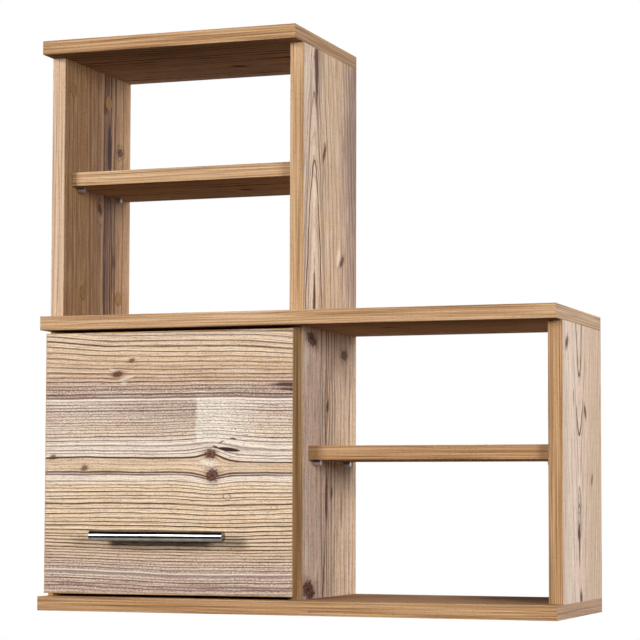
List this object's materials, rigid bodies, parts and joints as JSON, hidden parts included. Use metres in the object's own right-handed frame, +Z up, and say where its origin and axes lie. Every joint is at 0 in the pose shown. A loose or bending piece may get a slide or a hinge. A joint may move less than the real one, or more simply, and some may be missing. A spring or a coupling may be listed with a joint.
{
  "type": "wall cabinet",
  "caption": "Stepped wall cabinet of pine-look laminated board: an open tower on a closed lift-up flap bay, beside an open bay, with loose shelves and a bar handle.",
  "frame": {"origin": "on the wall plane, at the middle of the cabinet's width and height, on the middle panel's back edge", "axes": "+X to the cabinet's right, +Y back to the wall, +Z up"},
  "size_m": [0.608, 0.2355, 0.656],
  "materials": {
    "wood_decor": "laminate with a rustic pine print, fine relief",
    "flap_decor": "laminate with a rustic pine print, deep brushed relief",
    "edge_band": "printed edge banding, honey pine, satin",
    "hardboard": "thin hardboard with a printed face and a raw brown back",
    "handle_metal": "polished chrome on steel",
    "nickel_steel": "nickel-plated steel",
    "zinc_screw": "bright zinc-plated steel",
    "zinc_cam": "die-cast zinc",
    "cap_plastic": "matt plastic coloured like the board",
    "beech": "plain beech dowel",
    "clear_rubber": "clear soft silicone"
  },
  "bodies": {
    "carcass": {"top_panel": "wood_decor", "middle_panel": "wood_decor", "bottom_panel": "wood_decor", "tower_left_side": "wood_decor", "tower_right_side": "wood_decor", "lower_left_side": "wood_decor", "divider": "wood_decor", "lower_right_side": "wood_decor", "tower_shelf": "wood_decor", "lower_shelf": "wood_decor", "top_panel_edging": "edge_band", "middle_panel_edging": "edge_band", "bottom_panel_edging": "edge_band", "tower_left_edging": "edge_band", "tower_right_edging": "edge_band", "lower_left_edging": "edge_band", "divider_edging": "edge_band", "lower_right_edging": "edge_band", "tower_shelf_edging": "edge_band", "lower_shelf_edging": "edge_band", "back_panel": "hardboard", "hinge_arms": "nickel_steel", "hinge_plates": "nickel_steel", "stay_bases": "nickel_steel", "stay_base_pins": "nickel_steel", "tower_shelf_pegs": "nickel_steel", "lower_shelf_pegs": "nickel_steel", "hanger_plates": "nickel_steel", "hinge_plate_screws": "zinc_screw", "stay_base_screws": "zinc_screw", "hanger_screws": "zinc_screw", "cam_bolts": "zinc_screw", "cam_locks": "zinc_cam", "cam_caps": "cap_plastic", "wood_dowels": "beech"},
    "flap": {"flap_panel": "flap_decor", "flap_edging": "edge_band", "handle_bar": "handle_metal", "handle_posts": "handle_metal", "handle_screws": "zinc_screw", "hinge_cups": "nickel_steel", "hinge_cup_screws": "zinc_screw", "hinge_pins": "nickel_steel", "stay_brackets": "nickel_steel", "stay_bracket_screws": "zinc_screw", "stay_bracket_pins": "nickel_steel", "bump_stops": "clear_rubber"},
    "left_stay_arm": {"left_stay_arm": "nickel_steel", "left_stay_elbow_pin": "nickel_steel"},
    "left_stay_link": {"left_stay_link": "nickel_steel"},
    "right_stay_arm": {"right_stay_arm": "nickel_steel", "right_stay_elbow_pin": "nickel_steel"},
    "right_stay_link": {"right_stay_link": "nickel_steel"}
  },
  "joints": [
    {"name": "flap_hinge", "type": "hinge", "parent": "carcass", "child": "flap", "pos_m": [-0.148, -0.1955, -0.0172], "axis": [-1, 0, 0], "range_deg": [0, 90]},
    {"name": "left_stay_base_pivot", "type": "hinge", "parent": "carcass", "child": "left_stay_arm", "pos_m": [-0.28375, -0.1055, -0.0472], "axis": [-1, 0, 0], "range_deg": [0, 90]},
    {"name": "left_stay_elbow", "type": "hinge", "parent": "left_stay_arm", "child": "left_stay_link", "pos_m": [-0.28375, -0.0835, -0.1172], "axis": [-1, 0, 0], "range_deg": [-90, 0]},
    {"name": "right_stay_base_pivot", "type": "hinge", "parent": "carcass", "child": "right_stay_arm", "pos_m": [-0.01225, -0.1055, -0.0472], "axis": [-1, 0, 0], "range_deg": [0, 90]},
    {"name": "right_stay_elbow", "type": "hinge", "parent": "right_stay_arm", "child": "right_stay_link", "pos_m": [-0.01225, -0.0835, -0.1172], "axis": [-1, 0, 0], "range_deg": [-90, 0]}
  ],
  "couplings": [
    {"joint": "left_stay_base_pivot", "follows": "flap_hinge", "ratio": 1},
    {"joint": "left_stay_elbow", "follows": "flap_hinge", "ratio": -1},
    {"joint": "right_stay_base_pivot", "follows": "flap_hinge", "ratio": 1},
    {"joint": "right_stay_elbow", "follows": "flap_hinge", "ratio": -1}
  ]
}
